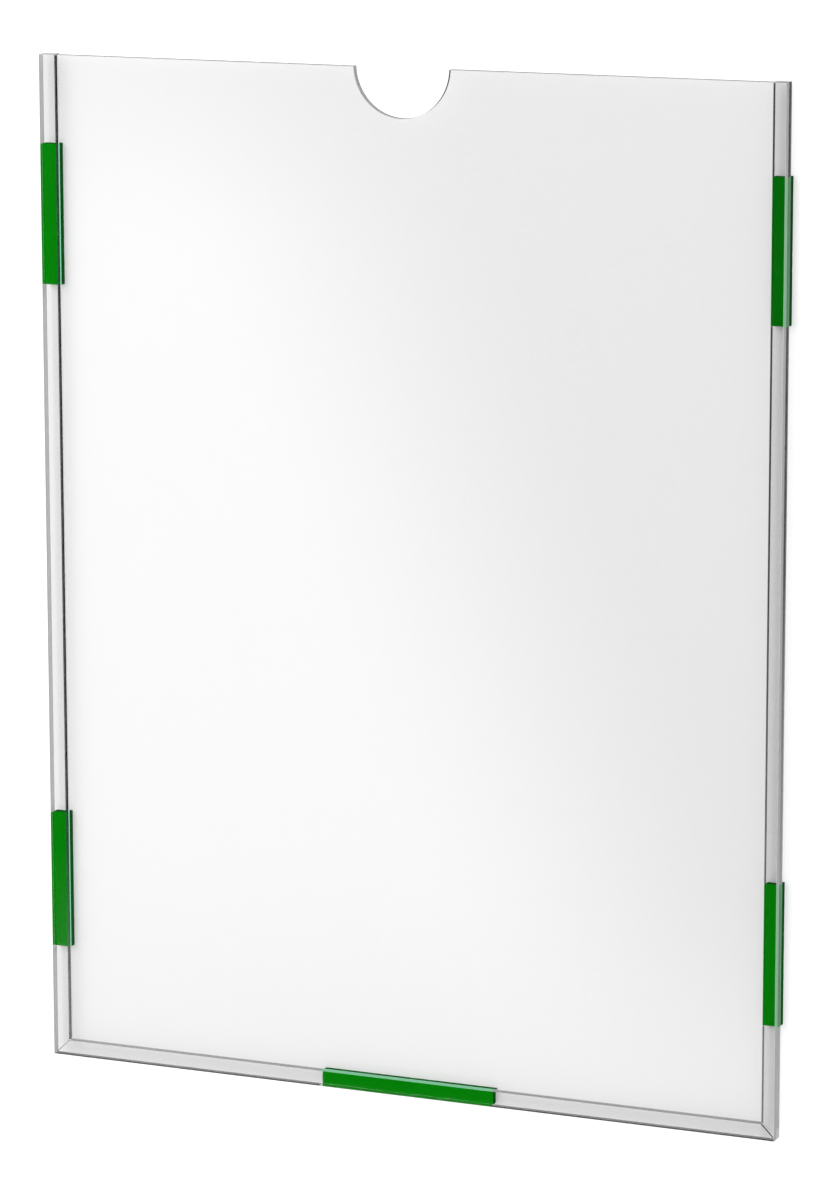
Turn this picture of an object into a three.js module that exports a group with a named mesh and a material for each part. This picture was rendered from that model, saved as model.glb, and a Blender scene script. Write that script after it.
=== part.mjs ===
/**
 * Acrylic wall display frame.
 *
 * A clear front sheet with a thumb notch stands off the wall on three clear spacer strips. The strips
 * are bonded to the sheet's back along its left, right and bottom edges and are mitred where they
 * meet. Five pads of green foam tape on the strips stick the frame to the wall. The top is open, so a
 * printed page drops in between the sheet and the wall.
 *
 * Millimetres. +X is to the right as seen from the front, +Z is up and the front faces -Y. The origin
 * is the centre of the bottom pad's wall face, so the wall is the plane Y = 0.
 */

import * as THREE from 'three';

// Front sheet
const frameWidth = 226;
const frameHeight = 296;
const sheetThickness = 2;
const arris = 0.15; // chamfer that breaks the sheet's front edges, round the notch too

// Thumb notch in the middle of the sheet's top edge
const notchRadius = 14.4;
const notchCentreRise = 0.3; // the arc's centre lies this far above the top edge
const notchSegments = 48;

// Spacer strips, flush with the sheet's edges
const stripWidth = 4.4;
const stripThickness = 2.5;
const mitreGap = 0.3; // joint line between two strips at a bottom corner

// Foam tape pads
const padThickness = 2;
const padMargin = 0.1; // a pad is cut this much inside each long edge of its strip
const sidePadLength = 41.3;
const bottomPadLength = 53.8;
const upperPadDrop = 25.4; // from the sheet's top edge down to an upper pad
const lowerPadRise = 32.3; // from the sheet's bottom edge up to a lower pad

// Planes of the stack, from the wall at Y = 0 to the front
const padFrontY = -padThickness;
const stripFrontY = padFrontY - stripThickness;
const sheetFrontY = stripFrontY - sheetThickness;

// Edges of the sheet, and the middle line of each strip
const halfWidth = frameWidth / 2;
const bottomZ = -stripWidth / 2;
const topZ = bottomZ + frameHeight;
const sideStripX = halfWidth - stripWidth / 2;
const bottomStripZ = bottomZ + stripWidth / 2;

const acrylic = { color: 0xf1f6f5, roughness: 0.06, metalness: 0, transparent: true, opacity: 0.3 };
const polishedStrip = { color: 0xe3eae9, roughness: 0.12, metalness: 0, transparent: true, opacity: 0.4 };
const greenFoam = { color: 0x048205, roughness: 0.75, metalness: 0 };

/**
 * A flat piece that stands between sections of constant Y. Each section is an outline in X and Z with
 * the same number of points, anticlockwise as seen from the front, and they run from front to back.
 */
function plateGeometry(sections) {
  const count = sections[0].outline.length;
  const positions = [];
  const triangles = [];
  for (const { y, outline } of sections) {
    for (const point of outline) positions.push(point.x, y, point.y);
  }
  const capFaces = (outline) => THREE.ShapeUtils.triangulateShape(outline, []);
  for (const [a, b, c] of capFaces(sections[0].outline)) triangles.push(a, b, c);
  for (let ring = 0; ring < sections.length - 1; ring++) {
    const front = ring * count;
    const back = front + count;
    for (let i = 0; i < count; i++) {
      const next = (i + 1) % count;
      triangles.push(front + i, back + next, front + next);
      triangles.push(front + i, back + i, back + next);
    }
  }
  const last = sections.length - 1;
  for (const [a, b, c] of capFaces(sections[last].outline)) {
    triangles.push(last * count + a, last * count + c, last * count + b);
  }
  const geometry = new THREE.BufferGeometry();
  geometry.setAttribute('position', new THREE.Float32BufferAttribute(positions, 3));
  geometry.setIndex(triangles);
  geometry.computeVertexNormals();
  return geometry;
}

/** The sheet's outline with its thumb notch, drawn inwards by the inset on every edge. */
function sheetOutline(inset) {
  const left = -halfWidth + inset;
  const right = halfWidth - inset;
  const bottom = bottomZ + inset;
  const top = topZ - inset;
  const radius = notchRadius + inset;
  const dip = Math.asin((notchCentreRise + inset) / radius);
  const centreZ = topZ + notchCentreRise;
  const arc = new THREE.EllipseCurve(0, centreZ, radius, radius, -dip, dip - Math.PI, true);
  return [
    new THREE.Vector2(left, bottom),
    new THREE.Vector2(right, bottom),
    new THREE.Vector2(right, top),
    ...arc.getPoints(notchSegments),
    new THREE.Vector2(left, top),
  ];
}

/** The same outline on the other side of the frame's middle plane. */
function mirrored(outline) {
  return outline.map((point) => new THREE.Vector2(-point.x, point.y)).reverse();
}

const mitreSetBack = mitreGap / Math.SQRT2;

/** The left strip: square and flush at the open top, cut at 45 degrees at the bottom corner. */
function leftStripOutline() {
  const outer = -halfWidth;
  const inner = outer + stripWidth;
  const cutZ = bottomZ + mitreSetBack;
  return [
    new THREE.Vector2(outer, cutZ),
    new THREE.Vector2(inner, cutZ + stripWidth),
    new THREE.Vector2(inner, topZ),
    new THREE.Vector2(outer, topZ),
  ];
}

/** The bottom strip, cut at 45 degrees at both ends. */
function bottomStripOutline() {
  const longEnd = halfWidth - mitreSetBack;
  const shortEnd = longEnd - stripWidth;
  return [
    new THREE.Vector2(-longEnd, bottomZ),
    new THREE.Vector2(longEnd, bottomZ),
    new THREE.Vector2(shortEnd, bottomZ + stripWidth),
    new THREE.Vector2(-shortEnd, bottomZ + stripWidth),
  ];
}

function namedMesh(name, geometry, finish) {
  const mesh = new THREE.Mesh(geometry, new THREE.MeshStandardMaterial(finish));
  mesh.name = name;
  return mesh;
}

function strip(name, outline) {
  const sections = [
    { y: stripFrontY, outline },
    { y: padFrontY, outline },
  ];
  return namedMesh(name, plateGeometry(sections), polishedStrip);
}

/** A tape pad on the middle line of its strip, from the strip's back to the wall. */
function pad(name, sizeX, sizeZ, x, z) {
  const mesh = namedMesh(name, new THREE.BoxGeometry(sizeX, padThickness, sizeZ), greenFoam);
  mesh.position.set(x, padFrontY / 2, z);
  return mesh;
}

const frontSheet = namedMesh(
  'front_sheet',
  plateGeometry([
    { y: sheetFrontY, outline: sheetOutline(arris) },
    { y: sheetFrontY + arris, outline: sheetOutline(0) },
    { y: stripFrontY, outline: sheetOutline(0) },
  ]),
  acrylic,
);

const spacers = new THREE.Group();
spacers.name = 'spacers';
spacers.add(
  strip('left_strip', leftStripOutline()),
  strip('right_strip', mirrored(leftStripOutline())),
  strip('bottom_strip', bottomStripOutline()),
);

const padWidth = stripWidth - 2 * padMargin;
const upperPadZ = topZ - upperPadDrop - sidePadLength / 2;
const lowerPadZ = bottomZ + lowerPadRise + sidePadLength / 2;

const pads = new THREE.Group();
pads.name = 'pads';
for (const [side, x] of [['left', -sideStripX], ['right', sideStripX]]) {
  pads.add(pad(`upper_${side}_pad`, padWidth, sidePadLength, x, upperPadZ));
  pads.add(pad(`lower_${side}_pad`, padWidth, sidePadLength, x, lowerPadZ));
}
pads.add(pad('bottom_pad', bottomPadLength, padWidth, 0, bottomStripZ));

const displayFrame = new THREE.Group();
displayFrame.name = 'acrylic_wall_display_frame';
displayFrame.add(frontSheet, spacers, pads);

export default displayFrame;
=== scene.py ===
"""Acrylic wall display frame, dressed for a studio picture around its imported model.

A clear sheet with a thumb notch stands off a white wall on three clear spacer strips and five pads of
green foam tape. The row frame is in metres: +X to the right as seen from the front, +Z up, the front
faces -Y, and the wall is the plane Y = 0.
"""

import logging
import math
from dataclasses import dataclass, field
from enum import Enum
from typing import Optional, Sequence

import bpy
import numpy as np
from mathutils import Matrix, Vector


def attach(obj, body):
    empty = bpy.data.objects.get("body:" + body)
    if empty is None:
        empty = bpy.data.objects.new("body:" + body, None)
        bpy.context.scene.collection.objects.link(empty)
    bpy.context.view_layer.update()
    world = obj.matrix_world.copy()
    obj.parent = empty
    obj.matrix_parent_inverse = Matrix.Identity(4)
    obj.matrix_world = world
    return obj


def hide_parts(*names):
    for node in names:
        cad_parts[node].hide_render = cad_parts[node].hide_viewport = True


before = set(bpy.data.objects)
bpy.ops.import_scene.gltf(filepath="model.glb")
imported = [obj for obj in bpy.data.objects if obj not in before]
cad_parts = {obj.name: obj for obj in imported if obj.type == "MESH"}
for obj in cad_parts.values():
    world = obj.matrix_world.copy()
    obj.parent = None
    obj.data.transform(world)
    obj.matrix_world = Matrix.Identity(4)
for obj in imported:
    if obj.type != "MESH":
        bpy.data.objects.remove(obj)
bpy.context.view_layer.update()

log = logging.getLogger("display_frame")

MM = 0.001
ROOT_BODY = "root"

# Share of Z that is added to X where the wall's pool of light and the foam's painted light fall off along a
# slanting line
SLANT = 0.445

# The tape pads on the wall side, and the height below which an edge belongs to the bottom strip
SIDE_TAPE_LENGTH = 40.95 * MM
BOTTOM_TAPE_LENGTH = 53.8 * MM
TAPE_ROWS_APART = 197.1 * MM
TAPE_ROWS_MIDDLE = 149.075 * MM
BOTTOM_STRETCH_TOP = 10 * MM


class Side(Enum):
    """The two sides of the frame, by the sign of X."""

    LEFT = -1
    RIGHT = 1


class Face(Enum):
    """Material slots of a slab: its two broad faces, and its rim by where it lies on the frame."""

    BROAD = 0
    RIM = 1
    LOWER = 2
    OUTER = 3
    INNER = 4
    END = 5
    UPPER = 6


# Shapes


def inset_outline(points: np.ndarray, inset: float) -> np.ndarray:
    """Moves every edge of a closed outline inwards by the same distance.

    Each corner goes along the sum of the inward normals of its two edges, divided by one plus their
    dot product, which keeps both edges parallel to where they were.

    Args:
        points: N by 2 array of corners, anticlockwise.
        inset: distance inwards, in the units of the points.

    Returns:
        The moved corners, N by 2.
    """
    edge = np.roll(points, -1, axis=0) - points
    edge = edge / np.linalg.norm(edge, axis=1, keepdims=True)
    after = np.stack([-edge[:, 1], edge[:, 0]], axis=1)
    before = np.roll(after, 1, axis=0)
    share = 1 + np.sum(after * before, axis=1, keepdims=True)
    return points + inset * (after + before) / share


def arris_profile(front: float, back: float, front_arris: float, back_arris: float,
                  steps: int) -> np.ndarray:
    """Section of a slab's rim: a quarter round, the straight edge, and another quarter round.

    On a quarter round the inset is the radius times one minus the sine of the turn, and the depth
    moves by the radius times one minus its cosine.

    Args:
        front: Y of the front face.
        back: Y of the back face.
        front_arris: radius that breaks the front edge.
        back_arris: radius that breaks the back edge.
        steps: points on each quarter round.

    Returns:
        K by 2 array of inset and Y, from the front face to the back face.
    """
    turn = np.linspace(0, math.pi / 2, steps)
    near = np.stack([front_arris * (1 - np.sin(turn)), front + front_arris * (1 - np.cos(turn))], axis=1)
    far = np.stack([back_arris * (1 - np.sin(turn)), back - back_arris * (1 - np.cos(turn))], axis=1)
    return np.concatenate([near, far[::-1]])


def slab_mesh(name: str, outline: np.ndarray, profile: np.ndarray,
              edge_faces: Optional[Sequence[Face]] = None) -> bpy.types.Mesh:
    """Carries a rim profile round an outline and closes it with two flat faces.

    Args:
        name: name of the mesh.
        outline: N by 2 corners in X and Z, anticlockwise as seen from the front.
        profile: K by 2 array of inset and Y, from front to back.
        edge_faces: the slot of the rim on each edge of the outline, or Face.RIM all round if left out.

    Returns:
        The closed mesh, with Face.BROAD on the two flat faces.
    """
    rings = len(profile)
    count = len(outline)
    flat = np.stack([inset_outline(outline, inset) for inset in profile[:, 0]])
    depth = np.repeat(profile[:, 1, None], count, axis=1)
    points = np.stack([flat[..., 0], depth, flat[..., 1]], axis=-1).reshape(-1, 3)
    ring, step = np.meshgrid(np.arange(rings - 1), np.arange(count), indexing="ij")
    here = ring * count + step
    beside = ring * count + (step + 1) % count
    quads = np.stack([here, here + count, beside + count, beside], axis=-1).reshape(-1, 4)
    front_face = list(range(count))
    back_face = list(range((rings - 1) * count, rings * count))[::-1]
    mesh = bpy.data.meshes.new(name)
    mesh.from_pydata(points.tolist(), [], quads.tolist() + [front_face, back_face])
    rim = [Face.RIM] * count if edge_faces is None else edge_faces
    slots = np.tile(np.array([face.value for face in rim], dtype=np.int32), rings - 1)
    slots = np.append(slots, [Face.BROAD.value, Face.BROAD.value]).astype(np.int32)
    mesh.polygons.foreach_set("material_index", slots)
    mesh.update()
    mesh.validate()
    return mesh


def add_object(name: str, data: bpy.types.ID) -> bpy.types.Object:
    """Puts a mesh, a camera or a lamp in the scene.

    Args:
        name: name of the object.
        data: the mesh, camera or lamp.

    Returns:
        The new object.
    """
    thing = bpy.data.objects.new(name, data)
    bpy.context.scene.collection.objects.link(thing)
    return thing


def place_piece(name: str, mesh: bpy.types.Mesh, materials: dict[Face, bpy.types.Material], node: str) -> bpy.types.Object:
    """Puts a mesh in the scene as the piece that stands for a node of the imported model.

    Args:
        name: name of the piece.
        mesh: its mesh, already in its place.
        materials: the material of each kind of face; one that is left out looks like the broad faces.
        node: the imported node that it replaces.

    Returns:
        The new object, riding on the frame's one body.
    """
    piece = add_object(name, mesh)
    for face in Face:
        mesh.materials.append(materials.get(face, materials[Face.BROAD]))
    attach(piece, ROOT_BODY)
    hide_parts(node)
    log.info("piece %s stands for %s, %d faces", name, node, len(mesh.polygons))
    return piece


# Materials


class NodeTree:
    """Short calls for building a material's or world's node tree."""

    def __init__(self, tree: bpy.types.NodeTree) -> None:
        """Takes over a tree and empties it."""
        self.tree = tree
        tree.nodes.clear()

    def add(self, kind: str, **settings: object) -> bpy.types.Node:
        """Adds a node.

        Args:
            kind: the node's type name.
            settings: attributes to set on it.

        Returns:
            The new node.
        """
        node = self.tree.nodes.new(kind)
        for key, value in settings.items():
            setattr(node, key, value)
        return node

    def link(self, source: bpy.types.NodeSocket, target: bpy.types.NodeSocket) -> None:
        """Joins an output to an input."""
        self.tree.links.new(source, target)

    def feed(self, sockets: Sequence[bpy.types.NodeSocket], values: Sequence[object]) -> None:
        """Gives each input its value, which is an output to join or a constant to set.

        Args:
            sockets: the inputs.
            values: a socket or a constant for each of them.
        """
        for socket, value in zip(sockets, values):
            if isinstance(value, bpy.types.NodeSocket):
                self.link(value, socket)
            else:
                socket.default_value = value

    def math(self, operation: str, first: object, second: object,
             clamp: bool = False) -> bpy.types.NodeSocket:
        """Adds a Math node.

        Args:
            operation: name of the operation.
            first: a socket or a number.
            second: a socket or a number.
            clamp: keeps the result between 0 and 1.

        Returns:
            The node's output.
        """
        node = self.add("ShaderNodeMath", operation=operation, use_clamp=clamp)
        self.feed(node.inputs[:2], (first, second))
        return node.outputs[0]

    def noise(self, scale: float, detail: float, roughness: float) -> bpy.types.NodeSocket:
        """Adds a noise texture on Object coordinates.

        Args:
            scale: cells per metre.
            detail: octaves.
            roughness: weight of the finer octaves.

        Returns:
            The noise value, about 0.5 on average.
        """
        place = self.add("ShaderNodeTexCoord")
        node = self.add("ShaderNodeTexNoise")
        node.inputs["Scale"].default_value = scale
        node.inputs["Detail"].default_value = detail
        node.inputs["Roughness"].default_value = roughness
        self.link(place.outputs["Object"], node.inputs["Vector"])
        return node.outputs["Fac"]

    def remap(self, value: bpy.types.NodeSocket, low: float, high: float, to_low: float, to_high: float,
              smooth: bool = False) -> bpy.types.NodeSocket:
        """Maps one range of values to another, clamped.

        Args:
            value: the value to map.
            low: start of its range.
            high: end of its range.
            to_low: result at the start.
            to_high: result at the end.
            smooth: eases in and out of both ends.

        Returns:
            The mapped value.
        """
        node = self.add("ShaderNodeMapRange", interpolation_type="SMOOTHSTEP" if smooth else "LINEAR")
        self.link(value, node.inputs["Value"])
        for key, number in (("From Min", low), ("From Max", high), ("To Min", to_low), ("To Max", to_high)):
            node.inputs[key].default_value = number
        return node.outputs["Result"]

    def mix(self, kind: str, factor: bpy.types.NodeSocket, first: object,
            second: object) -> bpy.types.NodeSocket:
        """Adds a Mix node.

        Args:
            kind: FLOAT or RGBA.
            factor: share of the second value.
            first: a socket or a value.
            second: a socket or a value.

        Returns:
            The node's output.
        """
        # A Mix node keeps its two numbers at inputs 2 and 3, and its two colours at 6 and 7
        node = self.add("ShaderNodeMix", data_type=kind)
        start = 2 if kind == "FLOAT" else 6
        self.link(factor, node.inputs[0])
        self.feed((node.inputs[start], node.inputs[start + 1]), (first, second))
        return node.outputs[0 if kind == "FLOAT" else 2]

    def blend(self, share: bpy.types.NodeSocket, first: bpy.types.NodeSocket,
              second: bpy.types.NodeSocket) -> bpy.types.NodeSocket:
        """Adds a Mix Shader node.

        Args:
            share: share of the second shader.
            first: a shader.
            second: a shader.

        Returns:
            The node's output.
        """
        node = self.add("ShaderNodeMixShader")
        self.feed(node.inputs, (share, first, second))
        return node.outputs[0]

    def bump(self, height: bpy.types.NodeSocket, strength: float, depth: float) -> bpy.types.NodeSocket:
        """Adds a Bump node.

        Args:
            height: height of the relief, 0 to 1.
            strength: weight of its effect.
            depth: distance that a height of 1 stands for.

        Returns:
            The new normal.
        """
        node = self.add("ShaderNodeBump")
        node.inputs["Strength"].default_value = strength
        node.inputs["Distance"].default_value = depth
        self.link(height, node.inputs["Height"])
        return node.outputs["Normal"]

    def finish(self, surface: bpy.types.NodeSocket, kind: str = "ShaderNodeOutputMaterial") -> None:
        """Adds the output node and gives it the surface that it shows."""
        self.link(surface, self.add(kind).inputs["Surface"])

    def place(self) -> tuple[bpy.types.NodeSocket, bpy.types.NodeSocket]:
        """Object coordinates across and up.

        Returns:
            X and Z.
        """
        node = self.add("ShaderNodeTexCoord")
        parts = self.add("ShaderNodeSeparateXYZ")
        self.link(node.outputs["Object"], parts.inputs[0])
        return parts.outputs["X"], parts.outputs["Z"]

    def slanting(self) -> bpy.types.NodeSocket:
        """Distance across a slanting line: X plus a share of Z."""
        x, z = self.place()
        return self.math("ADD", x, self.math("MULTIPLY", z, SLANT))

    def tape_share(self) -> bpy.types.NodeSocket:
        """Finds the stretches of the frame's outer edges that have tape behind them.

        On the sides, the height above the middle of the two rows of pads is folded onto itself and
        compared with a pad's height; along the bottom, the distance from the middle line is.

        Returns:
            1 where there is tape and 0 elsewhere.
        """
        x, z = self.place()
        fold = self.math("ABSOLUTE", self.math("SUBTRACT", z, TAPE_ROWS_MIDDLE), 0.0)
        fold = self.math("ABSOLUTE", self.math("SUBTRACT", fold, TAPE_ROWS_APART / 2), 0.0)
        side = self.math("LESS_THAN", fold, SIDE_TAPE_LENGTH / 2)
        middle = self.math("LESS_THAN", self.math("ABSOLUTE", x, 0.0), BOTTOM_TAPE_LENGTH / 2)
        low = self.math("LESS_THAN", z, BOTTOM_STRETCH_TOP)
        return self.math("MAXIMUM", side, self.math("MULTIPLY", middle, low))


def grey(level: float) -> tuple[float, float, float, float]:
    """A grey of one linear level, with full alpha."""
    return level, level, level, 1.0


def new_material(name: str) -> tuple[bpy.types.Material, NodeTree]:
    """Makes an empty node material.

    Args:
        name: its name.

    Returns:
        The material and its tree.
    """
    material = bpy.data.materials.new(name)
    material.use_nodes = True
    return material, NodeTree(material.node_tree)


@dataclass(frozen=True)
class PaintedToneWithin:
    """Painted grey of a cut edge seen from within at a grazing angle, away from tape: painted shade and
    light.

    From within, at steeper angles and in front of tape, a cut edge is clear. Its painted grey may be paler
    low down.
    """

    body: float
    clarity: float = 0.0
    roughness: float = 1.0
    painted_low_grey: Optional[float] = None


@dataclass(frozen=True)
class ClearAcrylic:
    """Clear cast acrylic: it bends light as the real plastic does, with a faint wave and haze.

    Light on its way to or from a matt surface goes straight through it, dimmed once per face by pass_tint.
    A cut edge may carry painted light and shade: a grey of its own, shown more low down where it is painted
    paler, a painted reflection of the green tape behind it, and a painted grey, mostly shade, seen from
    within.
    """

    name: str
    index: float = 1.49
    clarity: float = 1.0
    body: float = 1.0
    low_clarity: Optional[float] = None
    tape_clarity: float = 0.5
    painted_tape_reflection: Optional[tuple[float, float, float]] = None
    painted_within: Optional[PaintedToneWithin] = None
    pass_tint: float = 0.96
    roughness_low: float = 0.0
    roughness_high: float = 0.01
    haze_scale: float = 35.0
    haze_range: tuple[float, float] = (0.45, 0.75)
    wave_scale: float = 22.0
    wave_height: float = 0.02 * MM
    wave_strength: float = 0.15
    grazing: tuple[float, float] = (0.45, 0.6)
    ramp_heights: tuple[float, float] = (30 * MM, 160 * MM)

    def painted_tone_share(self, tree: NodeTree) -> bpy.types.NodeSocket:
        """Where an edge seen from within takes its painted grey of shade and mirrored light: at a grazing
        angle, away from the tape.

        Args:
            tree: the material's node tree.

        Returns:
            Its share, 0 to 1.
        """
        facing = tree.add("ShaderNodeLayerWeight").outputs["Facing"]
        slope = tree.remap(facing, *self.grazing, 0.0, 1.0)
        return tree.math("MULTIPLY", slope, tree.math("SUBTRACT", 1.0, tree.tape_share()))

    def build(self) -> bpy.types.Material:
        """Makes the material: a transmitting shader with noise on its roughness and normal, mixed with a
        plain tinted window for shadow and diffuse rays.

        A cut edge's clarity and colour change low down, then in front of tape, then when seen from within;
        all three are painted light and shade.

        Returns:
            The finished material.
        """
        material, tree = new_material(self.name)
        shader = tree.add("ShaderNodeBsdfPrincipled")
        shader.inputs["Base Color"].default_value = grey(self.body)
        shader.inputs["IOR"].default_value = self.index
        shader.inputs["Transmission Weight"].default_value = self.clarity
        haze = tree.noise(self.haze_scale, detail=4.0, roughness=0.6)
        rough = tree.remap(haze, *self.haze_range, self.roughness_low, self.roughness_high)
        # What is still None after these steps stays at the constant that the shader was given
        weight, colour = None, None
        # Painted light: low down the edge is less clear, so more of its pale grey shows
        if self.low_clarity is not None:
            weight = tree.remap(tree.place()[1], *self.ramp_heights, self.low_clarity, self.clarity)
        # Painted reflection: in front of tape the edge takes a green that stands in for the tape it mirrors
        if self.painted_tape_reflection is not None:
            tape = tree.tape_share()
            weight = tree.mix("FLOAT", tape, weight or self.clarity, self.tape_clarity)
            colour = tree.mix("RGBA", tape, grey(self.body), (*self.painted_tape_reflection, 1.0))
        # Painted shade and light: seen from within at a grazing angle, the edge takes a grey for the shaded
        # wall it mirrors
        if self.painted_within is not None:
            within = tree.add("ShaderNodeNewGeometry").outputs["Backfacing"]
            painted_tone = self.painted_tone_share(tree)
            weight_within = tree.remap(painted_tone, 0.0, 1.0, 1.0, self.painted_within.clarity)
            rough_within = tree.remap(painted_tone, 0.0, 1.0, 0.0, self.painted_within.roughness)
            weight = tree.mix("FLOAT", within, weight or self.clarity, weight_within)
            body_within = grey(self.painted_within.body)
            # Painted light: this grey is paler low down
            if self.painted_within.painted_low_grey is not None:
                height = tree.remap(tree.place()[1], *self.ramp_heights, 0.0, 1.0)
                body_within = tree.mix("RGBA", height, grey(self.painted_within.painted_low_grey), body_within)
            colour = tree.mix("RGBA", within, colour or grey(self.body), body_within)
            rough = tree.mix("FLOAT", within, rough, rough_within)
        if weight is not None:
            tree.link(weight, shader.inputs["Transmission Weight"])
        if colour is not None:
            tree.link(colour, shader.inputs["Base Color"])
        tree.link(rough, shader.inputs["Roughness"])
        wave = tree.noise(self.wave_scale, detail=1.0, roughness=0.4)
        tree.link(tree.bump(wave, self.wave_strength, self.wave_height), shader.inputs["Normal"])
        window = tree.add("ShaderNodeBsdfTransparent")
        window.inputs["Color"].default_value = grey(self.pass_tint)
        path = tree.add("ShaderNodeLightPath")
        straight = tree.math("MAXIMUM", path.outputs["Is Shadow Ray"], path.outputs["Is Diffuse Ray"])
        tree.finish(tree.blend(straight, shader.outputs["BSDF"], window.outputs["BSDF"]))
        return material


@dataclass(frozen=True)
class GreenFoam:
    """Closed-cell foam tape, dyed green through: matt, finely pitted, a little uneven in colour, with
    painted light across it.
    """

    name: str
    light: tuple[float, float, float] = (0.001, 0.46, 0.003)
    dark: tuple[float, float, float] = (0.001, 0.3, 0.004)
    painted_falloff_span: tuple[float, float] = (0.12, 0.22)
    roughness: float = 0.7
    sheen: float = 0.05
    painted_light_share: tuple[float, float] = (0.75, -0.25)
    mottle_scale: float = 420.0
    mottle_share: float = 0.5
    cell_scale: float = 3800.0
    cell_depth: float = 0.06 * MM
    cell_strength: float = 0.5

    def build(self) -> bpy.types.Material:
        """Makes the material: two greens mixed by noise, and by place as painted light, with fine pits as
        bump.

        The green is painted a little darker towards the upper right, as painted shade where the light falls
        off, from one end of painted_falloff_span to the other, measured by X plus a share of Z.

        Returns:
            The finished material.
        """
        material, tree = new_material(self.name)
        shader = tree.add("ShaderNodeBsdfPrincipled")
        shader.inputs["Roughness"].default_value = self.roughness
        shader.inputs["Specular IOR Level"].default_value = self.sheen
        # Painted light: the light green's share falls off along a slanting line, as the lamp's pool does
        along = tree.remap(tree.slanting(), *self.painted_falloff_span, *self.painted_light_share)
        mottle = tree.noise(self.mottle_scale, detail=3.0, roughness=0.6)
        mottle = tree.math("MULTIPLY", mottle, self.mottle_share)
        share = tree.math("ADD", along, mottle, clamp=True)
        colour = tree.mix("RGBA", share, (*self.dark, 1.0), (*self.light, 1.0))
        tree.link(colour, shader.inputs["Base Color"])
        pits = tree.noise(self.cell_scale, detail=2.0, roughness=0.5)
        tree.link(tree.bump(pits, self.cell_strength, self.cell_depth), shader.inputs["Normal"])
        tree.finish(shader.outputs["BSDF"])
        return material


# The object


@dataclass
class StackPlanes:
    """Y of each layer's faces, from the wall to the front, with a hair of air between layers."""

    wall: float = 0.0
    pad_front: float = -2.0 * MM
    strip_front: float = -4.5 * MM
    sheet_front: float = -6.5 * MM
    air: float = 0.02 * MM


@dataclass
class FrontSheet:
    """The clear sheet, with a semicircular thumb notch in the middle of its top edge."""

    width: float = 226 * MM
    height: float = 296.2 * MM
    bottom: float = -2.4 * MM
    notch_radius: float = 14.4 * MM
    notch_rise: float = 0.3 * MM
    notch_steps: int = 128
    front_arris: float = 0.15 * MM
    back_arris: float = 0.01 * MM
    arris_steps: int = 5
    planes: StackPlanes = field(default_factory=StackPlanes)

    @property
    def top(self) -> float:
        """Z of the top edge."""
        return self.bottom + self.height

    def outline(self) -> np.ndarray:
        """The outline with the notch: an arc about a point a little above the top edge.

        Returns:
            N by 2 corners in X and Z, anticlockwise as seen from the front.
        """
        half = self.width / 2
        dip = math.asin(self.notch_rise / self.notch_radius)
        turn = np.linspace(-dip, dip - math.pi, self.notch_steps)
        arc = np.stack([np.cos(turn), np.sin(turn)], axis=1) * self.notch_radius
        arc[:, 1] += self.top + self.notch_rise
        corners = np.array([[-half, self.bottom], [half, self.bottom], [half, self.top]])
        return np.concatenate([corners, arc, [[-half, self.top]]])

    def build(self, materials: dict[Face, bpy.types.Material]) -> bpy.types.Object:
        """Makes the sheet.

        Args:
            materials: broad faces, rim (top edge and notch), lower edge and outer (side) edges.

        Returns:
            The piece.
        """
        planes = self.planes
        profile = arris_profile(planes.sheet_front, planes.strip_front, self.front_arris,
                                self.back_arris, self.arris_steps)
        outline = self.outline()
        edge_faces = [Face.LOWER, Face.OUTER] + [Face.RIM] * (len(outline) - 3) + [Face.OUTER]
        mesh = slab_mesh("clear_sheet", outline, profile, edge_faces)
        return place_piece("clear_sheet", mesh, materials, "front_sheet")


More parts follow.
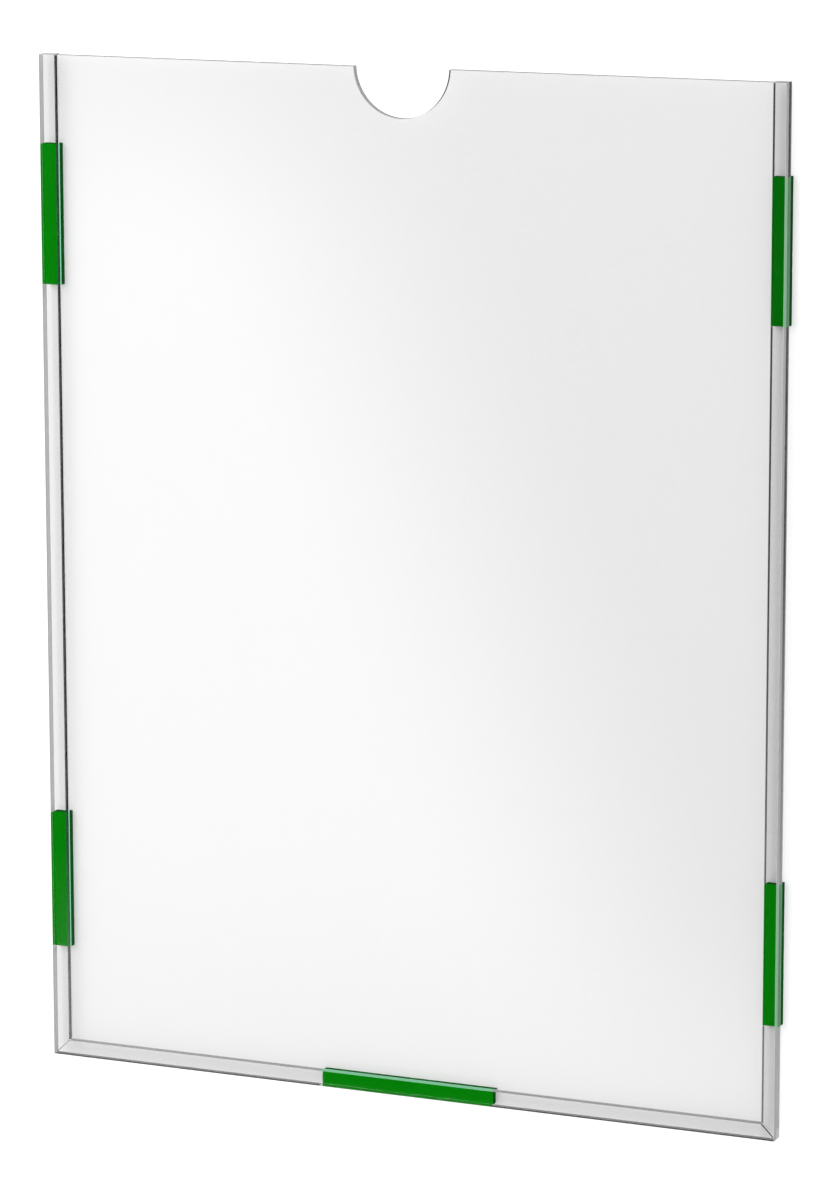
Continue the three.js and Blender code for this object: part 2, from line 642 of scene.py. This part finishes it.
@dataclass
class SpacerStrips:
    """Three clear bars behind the sheet's left, right and bottom edges, mitred at the corners."""

    sheet: FrontSheet
    left_width: float = 4.4 * MM
    right_width: float = 4.2 * MM
    bottom_width: float = 4.2 * MM
    mitre_gap: float = 0.14 * MM
    arris: float = 0.02 * MM
    arris_steps: int = 4
    left_joint_width: float = 0.13 * MM
    right_joint_width: float = 0.24 * MM
    joint_depth: float = 0.4 * MM
    joint_share: float = 0.8

    @property
    def outer(self) -> float:
        """X of the strips' outer faces."""
        return self.sheet.width / 2

    def width(self, side: Side) -> float:
        """Width of a side strip."""
        return self.left_width if side is Side.LEFT else self.right_width

    @property
    def high(self) -> float:
        """Z of the bottom strip's upper face."""
        return self.sheet.bottom + self.bottom_width

    def side_outline(self, side: Side) -> tuple[np.ndarray, list[Face]]:
        """Outline of a side strip: square at the top, cut at about 45 degrees at the bottom corner.

        Args:
            side: which strip.

        Returns:
            4 by 2 corners in X and Z, anticlockwise as seen from the front, and what each edge is.
        """
        lift = self.mitre_gap / math.sqrt(2)
        top = self.sheet.top
        low = self.sheet.bottom + lift
        inner = self.outer - self.width(side)
        corners = np.array([[self.outer, low], [self.outer, top], [inner, top], [inner, self.high + lift]])
        if side is Side.RIGHT:
            return corners, [Face.OUTER, Face.END, Face.INNER, Face.RIM]
        return (corners * (-1, 1))[::-1], [Face.INNER, Face.END, Face.OUTER, Face.RIM]

    def bottom_outline(self) -> tuple[np.ndarray, list[Face]]:
        """Outline of the bottom strip, cut at about 45 degrees at both ends.

        Returns:
            4 by 2 corners in X and Z, anticlockwise as seen from the front, and what each edge is.
        """
        step = self.mitre_gap / math.sqrt(2)
        low = self.sheet.bottom
        long_end = self.outer - step
        left = self.left_width - long_end
        right = long_end - self.right_width
        corners = np.array([[-long_end, low], [long_end, low], [right, self.high], [left, self.high]])
        return corners, [Face.LOWER, Face.RIM, Face.UPPER, Face.RIM]

    def joint_outline(self, side: Side) -> np.ndarray:
        """Outline of the line of cement in a mitre: a narrow bar along most of the cut.

        Args:
            side: which corner.

        Returns:
            4 by 2 corners in X and Z, anticlockwise as seen from the front.
        """
        start = np.array([self.outer - self.width(side), self.high])
        run = self.joint_share * (np.array([self.outer, self.sheet.bottom]) - start)
        width = self.left_joint_width if side is Side.LEFT else self.right_joint_width
        across = np.array([-run[1], run[0]]) / np.linalg.norm(run) * width / 2
        corners = np.array([start - across, start + run - across, start + run + across, start + across])
        return corners if side is Side.RIGHT else (corners * (-1, 1))[::-1]

    def build_joints(self, cement: bpy.types.Material) -> list[bpy.types.Object]:
        """Makes the lines of cement that show at the front of the two mitres.

        Args:
            cement: their material.

        Returns:
            The pieces: left, right.
        """
        front = self.sheet.planes.strip_front + self.sheet.planes.air
        profile = np.array([[0.0, front], [0.0, front + self.joint_depth]])
        pieces = []
        for side in Side:
            name = f"{side.name.lower()}_joint_line"
            mesh = slab_mesh(name, self.joint_outline(side), profile)
            for _ in (Face.BROAD, Face.RIM):
                mesh.materials.append(cement)
            joint = add_object(name, mesh)
            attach(joint, ROOT_BODY)
            log.info("piece %s, %d faces", name, len(mesh.polygons))
            pieces.append(joint)
        return pieces

    def build(self, left_and_bottom: dict[Face, bpy.types.Material],
              right: dict[Face, bpy.types.Material]) -> list[bpy.types.Object]:
        """Makes the three strips.

        Args:
            left_and_bottom: materials of the left and bottom strips.
            right: materials of the right strip.

        Returns:
            The pieces: left, right, bottom.
        """
        planes = self.sheet.planes
        front = planes.strip_front + planes.air
        profile = arris_profile(front, planes.pad_front, self.arris, self.arris, self.arris_steps)
        strips = {
            "left": (self.side_outline(Side.LEFT), left_and_bottom),
            "right": (self.side_outline(Side.RIGHT), right),
            "bottom": (self.bottom_outline(), left_and_bottom),
        }
        pieces = []
        for where, ((outline, edge_faces), materials) in strips.items():
            mesh = slab_mesh(f"{where}_spacer", outline, profile, edge_faces)
            pieces.append(place_piece(f"{where}_spacer", mesh, materials, f"{where}_strip"))
        return pieces


@dataclass
class TapePads:
    """Five die-cut pads of foam tape on the strips, about as wide as a strip."""

    strips: SpacerStrips
    side_margin: float = -0.1 * MM
    bottom_margin: float = -0.01 * MM
    bottom_drop: float = 0.09 * MM
    side_length: float = SIDE_TAPE_LENGTH
    bottom_length: float = BOTTOM_TAPE_LENGTH
    upper_drop: float = 25.7 * MM
    side_rows_apart: float = TAPE_ROWS_APART
    air_share: float = 1.5
    bulge: float = 0.05 * MM
    bulge_rows: int = 5
    arris: float = 0.05 * MM
    arris_steps: int = 3
    cut_step: float = 0.4 * MM
    cut_steps_least: int = 6
    cut_wobble: float = 0.06 * MM
    cut_smoothing: int = 5

    def outline(self, centre: tuple[float, float], size: tuple[float, float], seed: int) -> np.ndarray:
        """A rectangle whose cut edges waver a little, as foam does under a blade.

        Each edge is a row of points. They move across the edge by smoothed random amounts.

        Args:
            centre: X and Z of the middle.
            size: extents along X and Z.
            seed: start of the random sequence.

        Returns:
            N by 2 points in X and Z, anticlockwise as seen from the front.
        """
        random = np.random.default_rng(seed)
        half = np.array(size) / 2
        corners = np.array([[-1, -1], [1, -1], [1, 1], [-1, 1]]) * half
        window = np.ones(self.cut_smoothing) / self.cut_smoothing
        edges = []
        for start, end in zip(corners, np.roll(corners, -1, axis=0)):
            length = np.linalg.norm(end - start)
            count = max(self.cut_steps_least, int(length / self.cut_step))
            along = np.arange(count) / count
            draws = random.normal(size=count + self.cut_smoothing - 1)
            drift = np.convolve(draws, window, mode="valid")
            drift = self.cut_wobble * np.clip(drift, -1, 1) * np.sin(math.pi * along)
            inward = np.array([-(end - start)[1], (end - start)[0]]) / length
            edges.append(start + along[:, None] * (end - start) + np.abs(drift)[:, None] * inward)
        return np.concatenate(edges) + np.array(centre)

    def profile(self) -> np.ndarray:
        """Section of a pad's side: rounded edges, with the middle a little proud of them.

        Between the two skins the side bulges outwards by a half sine.

        Returns:
            K by 2 array of inset and Y, from front to back.
        """
        planes = self.strips.sheet.planes
        front = planes.pad_front + self.air_share * planes.air
        base = arris_profile(front, planes.wall, self.arris, self.arris, self.arris_steps)
        across = np.linspace(0, 1, self.bulge_rows + 2)[1:-1]
        middle_y = front + self.arris + across * (planes.wall - front - 2 * self.arris)
        middle = np.stack([np.zeros_like(across), middle_y], axis=1)
        rows = np.concatenate([base[:self.arris_steps], middle, base[self.arris_steps:]])
        share = (rows[:, 1] - front) / (planes.wall - front)
        rows[:, 0] += self.bulge * (1 - np.sin(math.pi * share))
        return rows

    def places(self) -> dict[str, tuple[tuple[float, float], tuple[float, float]]]:
        """Centre and size of each pad, from the sheet's edges.

        Returns:
            Name to centre and size, in X and Z.
        """
        strips = self.strips
        sheet = strips.sheet
        upper = sheet.top - self.upper_drop - self.side_length / 2
        lower = upper - self.side_rows_apart
        spots = {}
        for side in Side:
            word = side.name.lower()
            line = side.value * (strips.outer - strips.width(side) / 2)
            width = strips.width(side) - 2 * self.side_margin
            spots[f"upper_{word}"] = ((line, upper), (width, self.side_length))
            spots[f"lower_{word}"] = ((line, lower), (width, self.side_length))
        height = strips.bottom_width - 2 * self.bottom_margin
        middle = sheet.bottom + strips.bottom_width / 2 - self.bottom_drop
        spots["bottom"] = ((0.0, middle), (self.bottom_length, height))
        return spots

    def build(self, skin: bpy.types.Material, cut: bpy.types.Material) -> list[bpy.types.Object]:
        """Makes the five pads.

        Args:
            skin: material of the adhesive faces.
            cut: material of the cut sides, a darker green as painted shade.

        Returns:
            The pieces.
        """
        pieces = []
        for seed, (where, (centre, size)) in enumerate(self.places().items()):
            mesh = slab_mesh(f"{where}_tape", self.outline(centre, size, seed), self.profile())
            materials = {Face.BROAD: skin, Face.RIM: cut}
            piece = place_piece(f"{where}_tape", mesh, materials, f"{where}_pad")
            pieces.append(piece)
        return pieces


# The studio


@dataclass
class PhotoCamera:
    """The camera of the photograph, worked out from the frame's edges in it."""

    azimuth: float = 23.333
    elevation: float = 11.166
    roll: float = -0.0935
    distance: float = 1.46254
    pan_right: float = 0.0046002
    pan_up: float = -0.0018834
    focal_pixels: float = 5172.30
    picture_height: float = 1197.0
    sensor: float = 36.0
    clip: tuple[float, float] = (0.05, 50.0)
    aim: tuple[float, float, float] = (0.0, -6.5 * MM, 145.8 * MM)

    def build(self) -> bpy.types.Object:
        """Makes the camera and gives it to the scene.

        Returns:
            The camera object.
        """
        a, e, r = (math.radians(angle) for angle in (self.azimuth, self.elevation, self.roll))
        back = Vector((math.sin(a) * math.cos(e), -math.cos(a) * math.cos(e), math.sin(e)))
        level = Vector((math.cos(a), math.sin(a), 0))
        rise = back.cross(level)
        right = math.cos(r) * level + math.sin(r) * rise
        up = math.cos(r) * rise - math.sin(r) * level
        data = bpy.data.cameras.new("photo_camera")
        data.sensor_width = self.sensor
        data.lens = self.focal_pixels / self.picture_height * self.sensor
        data.clip_start, data.clip_end = self.clip
        camera = add_object("photo_camera", data)
        turn = Matrix((right, up, back)).transposed().to_4x4()
        place = Vector(self.aim) + back * self.distance + right * self.pan_right + up * self.pan_up
        camera.matrix_world = Matrix.Translation(place) @ turn
        bpy.context.scene.camera = camera
        return camera


@dataclass
class Studio:
    """A white wall behind the frame, a pale floor, one large soft lamp and a dark room in front."""

    wall_gap: float = 0.05 * MM
    pool_edge: tuple[float, float] = (147 * MM, 27 * MM)
    pool_low: tuple[float, float] = (0.0, 70 * MM)
    pool_high: tuple[float, float] = (305 * MM, 235 * MM)
    pool_low_share: float = 0.35
    pool_high_share: float = 0.45
    shade_start: tuple[float, float] = (107 * MM, 108 * MM)
    shade_end: tuple[float, float] = (111 * MM, 113 * MM)
    wall_half: float = 3.0
    wall_albedo: float = 0.8
    wall_base: float = 0.2
    wall_pool: float = 0.155
    wall_low: float = 0.06
    wall_strip_shade: float = 0.09
    wall_camera_extra: float = 0.25
    wall_mirror_share: float = 0.15
    floor_level: float = -0.9
    floor_front: float = -0.8
    floor_albedo: float = 0.8
    fill_level: float = 0.8
    room_low: tuple[float, float] = (-0.24, -0.29)
    room_low_levels: tuple[float, float] = (0.002, 0.36)
    room_left: tuple[float, float] = (-0.4, -0.44)
    room_high: tuple[float, float] = (0.35, 0.7)
    room_high_level: float = 0.8
    lamp_place: tuple[float, float, float] = (-0.8, -1.3, 1.2)
    lamp_aim: tuple[float, float, float] = (0.0, 0.0, 0.14)
    lamp_size: float = 1.2
    lamp_power: float = 15.0

    def plane(self, name: str, corners: np.ndarray, material: bpy.types.Material) -> bpy.types.Object:
        """Makes a flat four-cornered stage piece.

        Args:
            name: its name.
            corners: 4 by 3 array, anticlockwise as seen from its front.
            material: its material.

        Returns:
            The stage object.
        """
        mesh = bpy.data.meshes.new(name)
        mesh.from_pydata(corners.tolist(), [], [[0, 1, 2, 3]])
        mesh.materials.append(material)
        piece = add_object(name, mesh)
        return piece

    def wall_pool_level(self, tree: NodeTree) -> bpy.types.NodeSocket:
        """A soft pool of light on the wall, brighter on the left and fading along a slanting line.

        The line runs across X plus a share of Z. The pool also fades at the top and bottom of the frame,
        and a second, weaker glow lies low down. A shade lies behind the right strip.

        Args:
            tree: the wall's node tree.

        Returns:
            Strength of the wall's own glow before the camera's share.
        """
        x, z = tree.place()
        side = tree.remap(tree.slanting(), *self.pool_edge, 0.0, 1.0, smooth=True)
        low = tree.remap(z, *self.pool_low, self.pool_low_share, 1.0, smooth=True)
        high = tree.remap(z, *self.pool_high, self.pool_high_share, 1.0, smooth=True)
        pool = tree.math("MULTIPLY", tree.math("MULTIPLY", side, low), high)
        ground = tree.remap(z, *self.pool_low, self.wall_low, 0.0, smooth=True)
        own = tree.math("ADD", tree.math("MULTIPLY", pool, self.wall_pool), ground)
        start = tree.remap(x, *self.shade_start, 0.0, self.wall_strip_shade)
        shade = tree.math("MULTIPLY", start, tree.remap(x, *self.shade_end, 1.0, 0.0))
        return tree.math("ADD", own, tree.math("SUBTRACT", self.wall_base, shade))

    def wall_material(self) -> bpy.types.Material:
        """White wall: it takes the frame's contact shadow, glows a little so that it reads as white, looks
        dimmer in mirrored light, and is open to whoever looks from behind it.

        Returns:
            The material.
        """
        material, tree = new_material("white_wall")
        path = tree.add("ShaderNodeLightPath")
        mirrored = tree.math("SUBTRACT", path.outputs["Is Glossy Ray"],
                             path.outputs["Is Transmission Ray"], clamp=True)
        share = tree.remap(mirrored, 0.0, 1.0, 1.0, self.wall_mirror_share)
        paint = tree.add("ShaderNodeBsdfDiffuse")
        tree.link(tree.math("MULTIPLY", share, self.wall_albedo), paint.inputs["Color"])
        glow = tree.add("ShaderNodeEmission")
        seen = tree.math("MULTIPLY", path.outputs["Is Camera Ray"], self.wall_camera_extra)
        own = tree.math("MULTIPLY", self.wall_pool_level(tree), share)
        tree.link(tree.math("ADD", seen, own), glow.inputs["Strength"])
        both = tree.add("ShaderNodeAddShader")
        tree.link(paint.outputs[0], both.inputs[0])
        tree.link(glow.outputs[0], both.inputs[1])
        clear = tree.add("ShaderNodeBsdfTransparent")
        geometry = tree.add("ShaderNodeNewGeometry")
        unseen = tree.math("MAXIMUM", path.outputs["Is Shadow Ray"], path.outputs["Is Diffuse Ray"])
        looked_at = tree.math("SUBTRACT", 1.0, unseen)
        open_back = tree.math("MULTIPLY", geometry.outputs["Backfacing"], looked_at)
        opened = tree.math("MAXIMUM", open_back, path.outputs["Is Shadow Ray"])
        tree.finish(tree.blend(opened, both.outputs[0], clear.outputs[0]))
        return material

    def floor_material(self) -> bpy.types.Material:
        """Pale floor that reads as white to the camera, and as pale paint to everything else.

        Returns:
            The material.
        """
        material, tree = new_material("pale_floor")
        path = tree.add("ShaderNodeLightPath")
        paint = tree.add("ShaderNodeBsdfDiffuse")
        paint.inputs["Color"].default_value = grey(self.floor_albedo)
        glow = tree.add("ShaderNodeEmission")
        tree.finish(tree.blend(path.outputs["Is Camera Ray"], paint.outputs[0], glow.outputs[0]))
        return material

    def build_world(self) -> None:
        """White to the camera and to rays that pass straight through the acrylic, a plain fill for lit
        surfaces, and a dark room, paler low down and overhead, for what mirrors in the acrylic."""
        world = bpy.data.worlds.new("studio_room")
        world.use_nodes = True
        bpy.context.scene.world = world
        tree = NodeTree(world.node_tree)
        path = tree.add("ShaderNodeLightPath")
        place = tree.add("ShaderNodeTexCoord")
        parts = tree.add("ShaderNodeSeparateXYZ")
        tree.link(place.outputs["Generated"], parts.inputs[0])
        glow = tree.remap(parts.outputs["Z"], *self.room_low, *self.room_low_levels)
        left = tree.remap(parts.outputs["X"], *self.room_left, 0.0, 1.0)
        low = tree.math("MULTIPLY", glow, left)
        high = tree.remap(parts.outputs["Z"], *self.room_high, 0.0, self.room_high_level)
        behind = tree.math("GREATER_THAN", parts.outputs["Y"], 0.0)
        room = tree.math("MAXIMUM", tree.math("ADD", low, high), behind)
        bounced = tree.math("SUBTRACT", path.outputs["Ray Depth"], path.outputs["Transmission Depth"])
        # The step to the background counts as a bounce too, so one mirrored bounce makes two
        bounced = tree.math("GREATER_THAN", bounced, 1.5)
        mirrored = tree.math("MULTIPLY", room, bounced)
        seen = tree.math("ADD", mirrored, tree.math("SUBTRACT", 1.0, bounced))
        lit = tree.math("MULTIPLY", path.outputs["Is Diffuse Ray"], self.fill_level)
        unlit = tree.math("SUBTRACT", 1.0, path.outputs["Is Diffuse Ray"])
        level = tree.math("ADD", tree.math("MULTIPLY", seen, unlit), lit)
        background = tree.add("ShaderNodeBackground")
        tree.link(level, background.inputs["Strength"])
        tree.finish(background.outputs[0], "ShaderNodeOutputWorld")

    def build_lamp(self) -> bpy.types.Object:
        """The large soft lamp, in front of the frame and up to the left.

        Returns:
            The lamp object.
        """
        data = bpy.data.lights.new("soft_box", "AREA")
        data.shape = "SQUARE"
        data.size = self.lamp_size
        data.energy = self.lamp_power
        lamp = add_object("soft_box", data)
        place = Vector(self.lamp_place)
        lamp.location = place
        lamp.rotation_euler = (place - Vector(self.lamp_aim)).to_track_quat("Z", "Y").to_euler()
        return lamp

    def build(self) -> None:
        """Makes the wall, the floor, the world and the lamp."""
        half = self.wall_half
        low = self.floor_level
        wall = np.array([[-half, self.wall_gap, low], [half, self.wall_gap, low],
                         [half, self.wall_gap, half], [-half, self.wall_gap, half]])
        self.plane("white_wall", wall, self.wall_material())
        floor = np.array([[-half, self.floor_front, low], [half, self.floor_front, low],
                          [half, self.wall_gap, low], [-half, self.wall_gap, low]])
        self.plane("pale_floor", floor, self.floor_material())
        self.build_world()
        self.build_lamp()


def acrylic_looks() -> tuple[dict[Face, bpy.types.Material], ...]:
    """Makes the clear materials: cut edges are satin, and each carries painted light and shade: a grey of
    its own by how light falls on it, painted reflections of the tape, and a painted grey from within.

    Returns:
        The materials of the sheet, of the left and bottom strips, and of the right strip.
    """
    satin = {"clarity": 0.35, "roughness_low": 0.1, "roughness_high": 0.25}
    # Painted light and shade: each cut edge of the sheet gets a grey of its own by how light falls on it,
    # the lower edge darkest
    rim = ClearAcrylic("notch_and_top_edge", body=0.68, painted_within=PaintedToneWithin(body=0.06, clarity=0.1), **satin)
    foot = ClearAcrylic("sheet_lower_edge", body=0.35, painted_within=PaintedToneWithin(body=0.02), **satin)
    side = ClearAcrylic("sheet_side_edge", body=0.8, tape_clarity=0.35, painted_tape_reflection=(0.5, 0.95, 0.6),
                        painted_within=PaintedToneWithin(body=0.72), **satin)
    sheet_looks = {
        Face.BROAD: ClearAcrylic("polished_acrylic").build(),
        Face.RIM: rim.build(),
        Face.LOWER: foot.build(),
        Face.OUTER: side.build(),
    }
    tint = {"pass_tint": 0.78}
    # Painted light and shade on the strips' edges: paler low down, painted reflections of the tape, and
    # painted greys from within
    outer = ClearAcrylic("strip_outer_edge", clarity=0.95, body=0.8, low_clarity=0.35,
                         painted_tape_reflection=(0.25, 0.55, 0.3), painted_within=PaintedToneWithin(body=0.79), **tint)
    end = ClearAcrylic("strip_top_end", clarity=0.15, body=0.97, roughness_low=0.2, roughness_high=0.4)
    inner = ClearAcrylic("left_inner_edge", tape_clarity=0.97, painted_tape_reflection=(0.15, 0.97, 0.36), **tint)
    lower = ClearAcrylic("strip_lower_edge", painted_within=PaintedToneWithin(body=0.35), **tint)
    upper = ClearAcrylic("strip_upper_edge", clarity=0.6, body=0.9, tape_clarity=0.3,
                         painted_tape_reflection=(0.35, 0.95, 0.55), **tint,
                         painted_within=PaintedToneWithin(body=0.8, clarity=0.6, roughness=0.0))
    clear = ClearAcrylic("strip_acrylic", **tint).build()
    strip_looks = {
        Face.BROAD: clear,
        Face.RIM: clear,
        Face.OUTER: outer.build(),
        Face.END: end.build(),
        Face.INNER: inner.build(),
        Face.LOWER: lower.build(),
        Face.UPPER: upper.build(),
    }
    right_tint = {"pass_tint": 0.74}
    # Painted shade: from within, the right strip's inner edge shows a dark painted line, paler low down
    right_inner = ClearAcrylic("right_inner_edge", painted_within=PaintedToneWithin(body=0.1, painted_low_grey=0.38), **right_tint)
    right_clear = ClearAcrylic("right_strip_acrylic", **right_tint).build()
    own = {Face.BROAD: right_clear, Face.RIM: right_clear, Face.INNER: right_inner.build()}
    return sheet_looks, strip_looks, strip_looks | own


def main() -> None:
    """Builds the camera, the frame's pieces and the studio, and reports each piece."""
    logging.basicConfig(level=logging.INFO, format="%(name)s: %(message)s")
    bpy.context.scene.view_settings.view_transform = "Standard"
    PhotoCamera().build()
    sheet_looks, strip_looks, right_looks = acrylic_looks()
    cement = ClearAcrylic("cement_line", clarity=0.3, body=0.06, roughness_low=0.2, roughness_high=0.4)
    foam_skin = GreenFoam("green_foam_skin", roughness=0.55)
    # Painted shade: the cut sides get a much darker copy of the green
    shaded_foam_cut = GreenFoam("green_foam_cut_painted_shade", light=(0.001, 0.11, 0.012), dark=(0.001, 0.08, 0.01))
    sheet = FrontSheet()
    sheet.build(sheet_looks)
    strips = SpacerStrips(sheet)
    strips.build(strip_looks, right_looks)
    strips.build_joints(cement.build())
    TapePads(strips).build(foam_skin.build(), shaded_foam_cut.build())
    Studio().build()


if __name__ == "__main__":
    main()
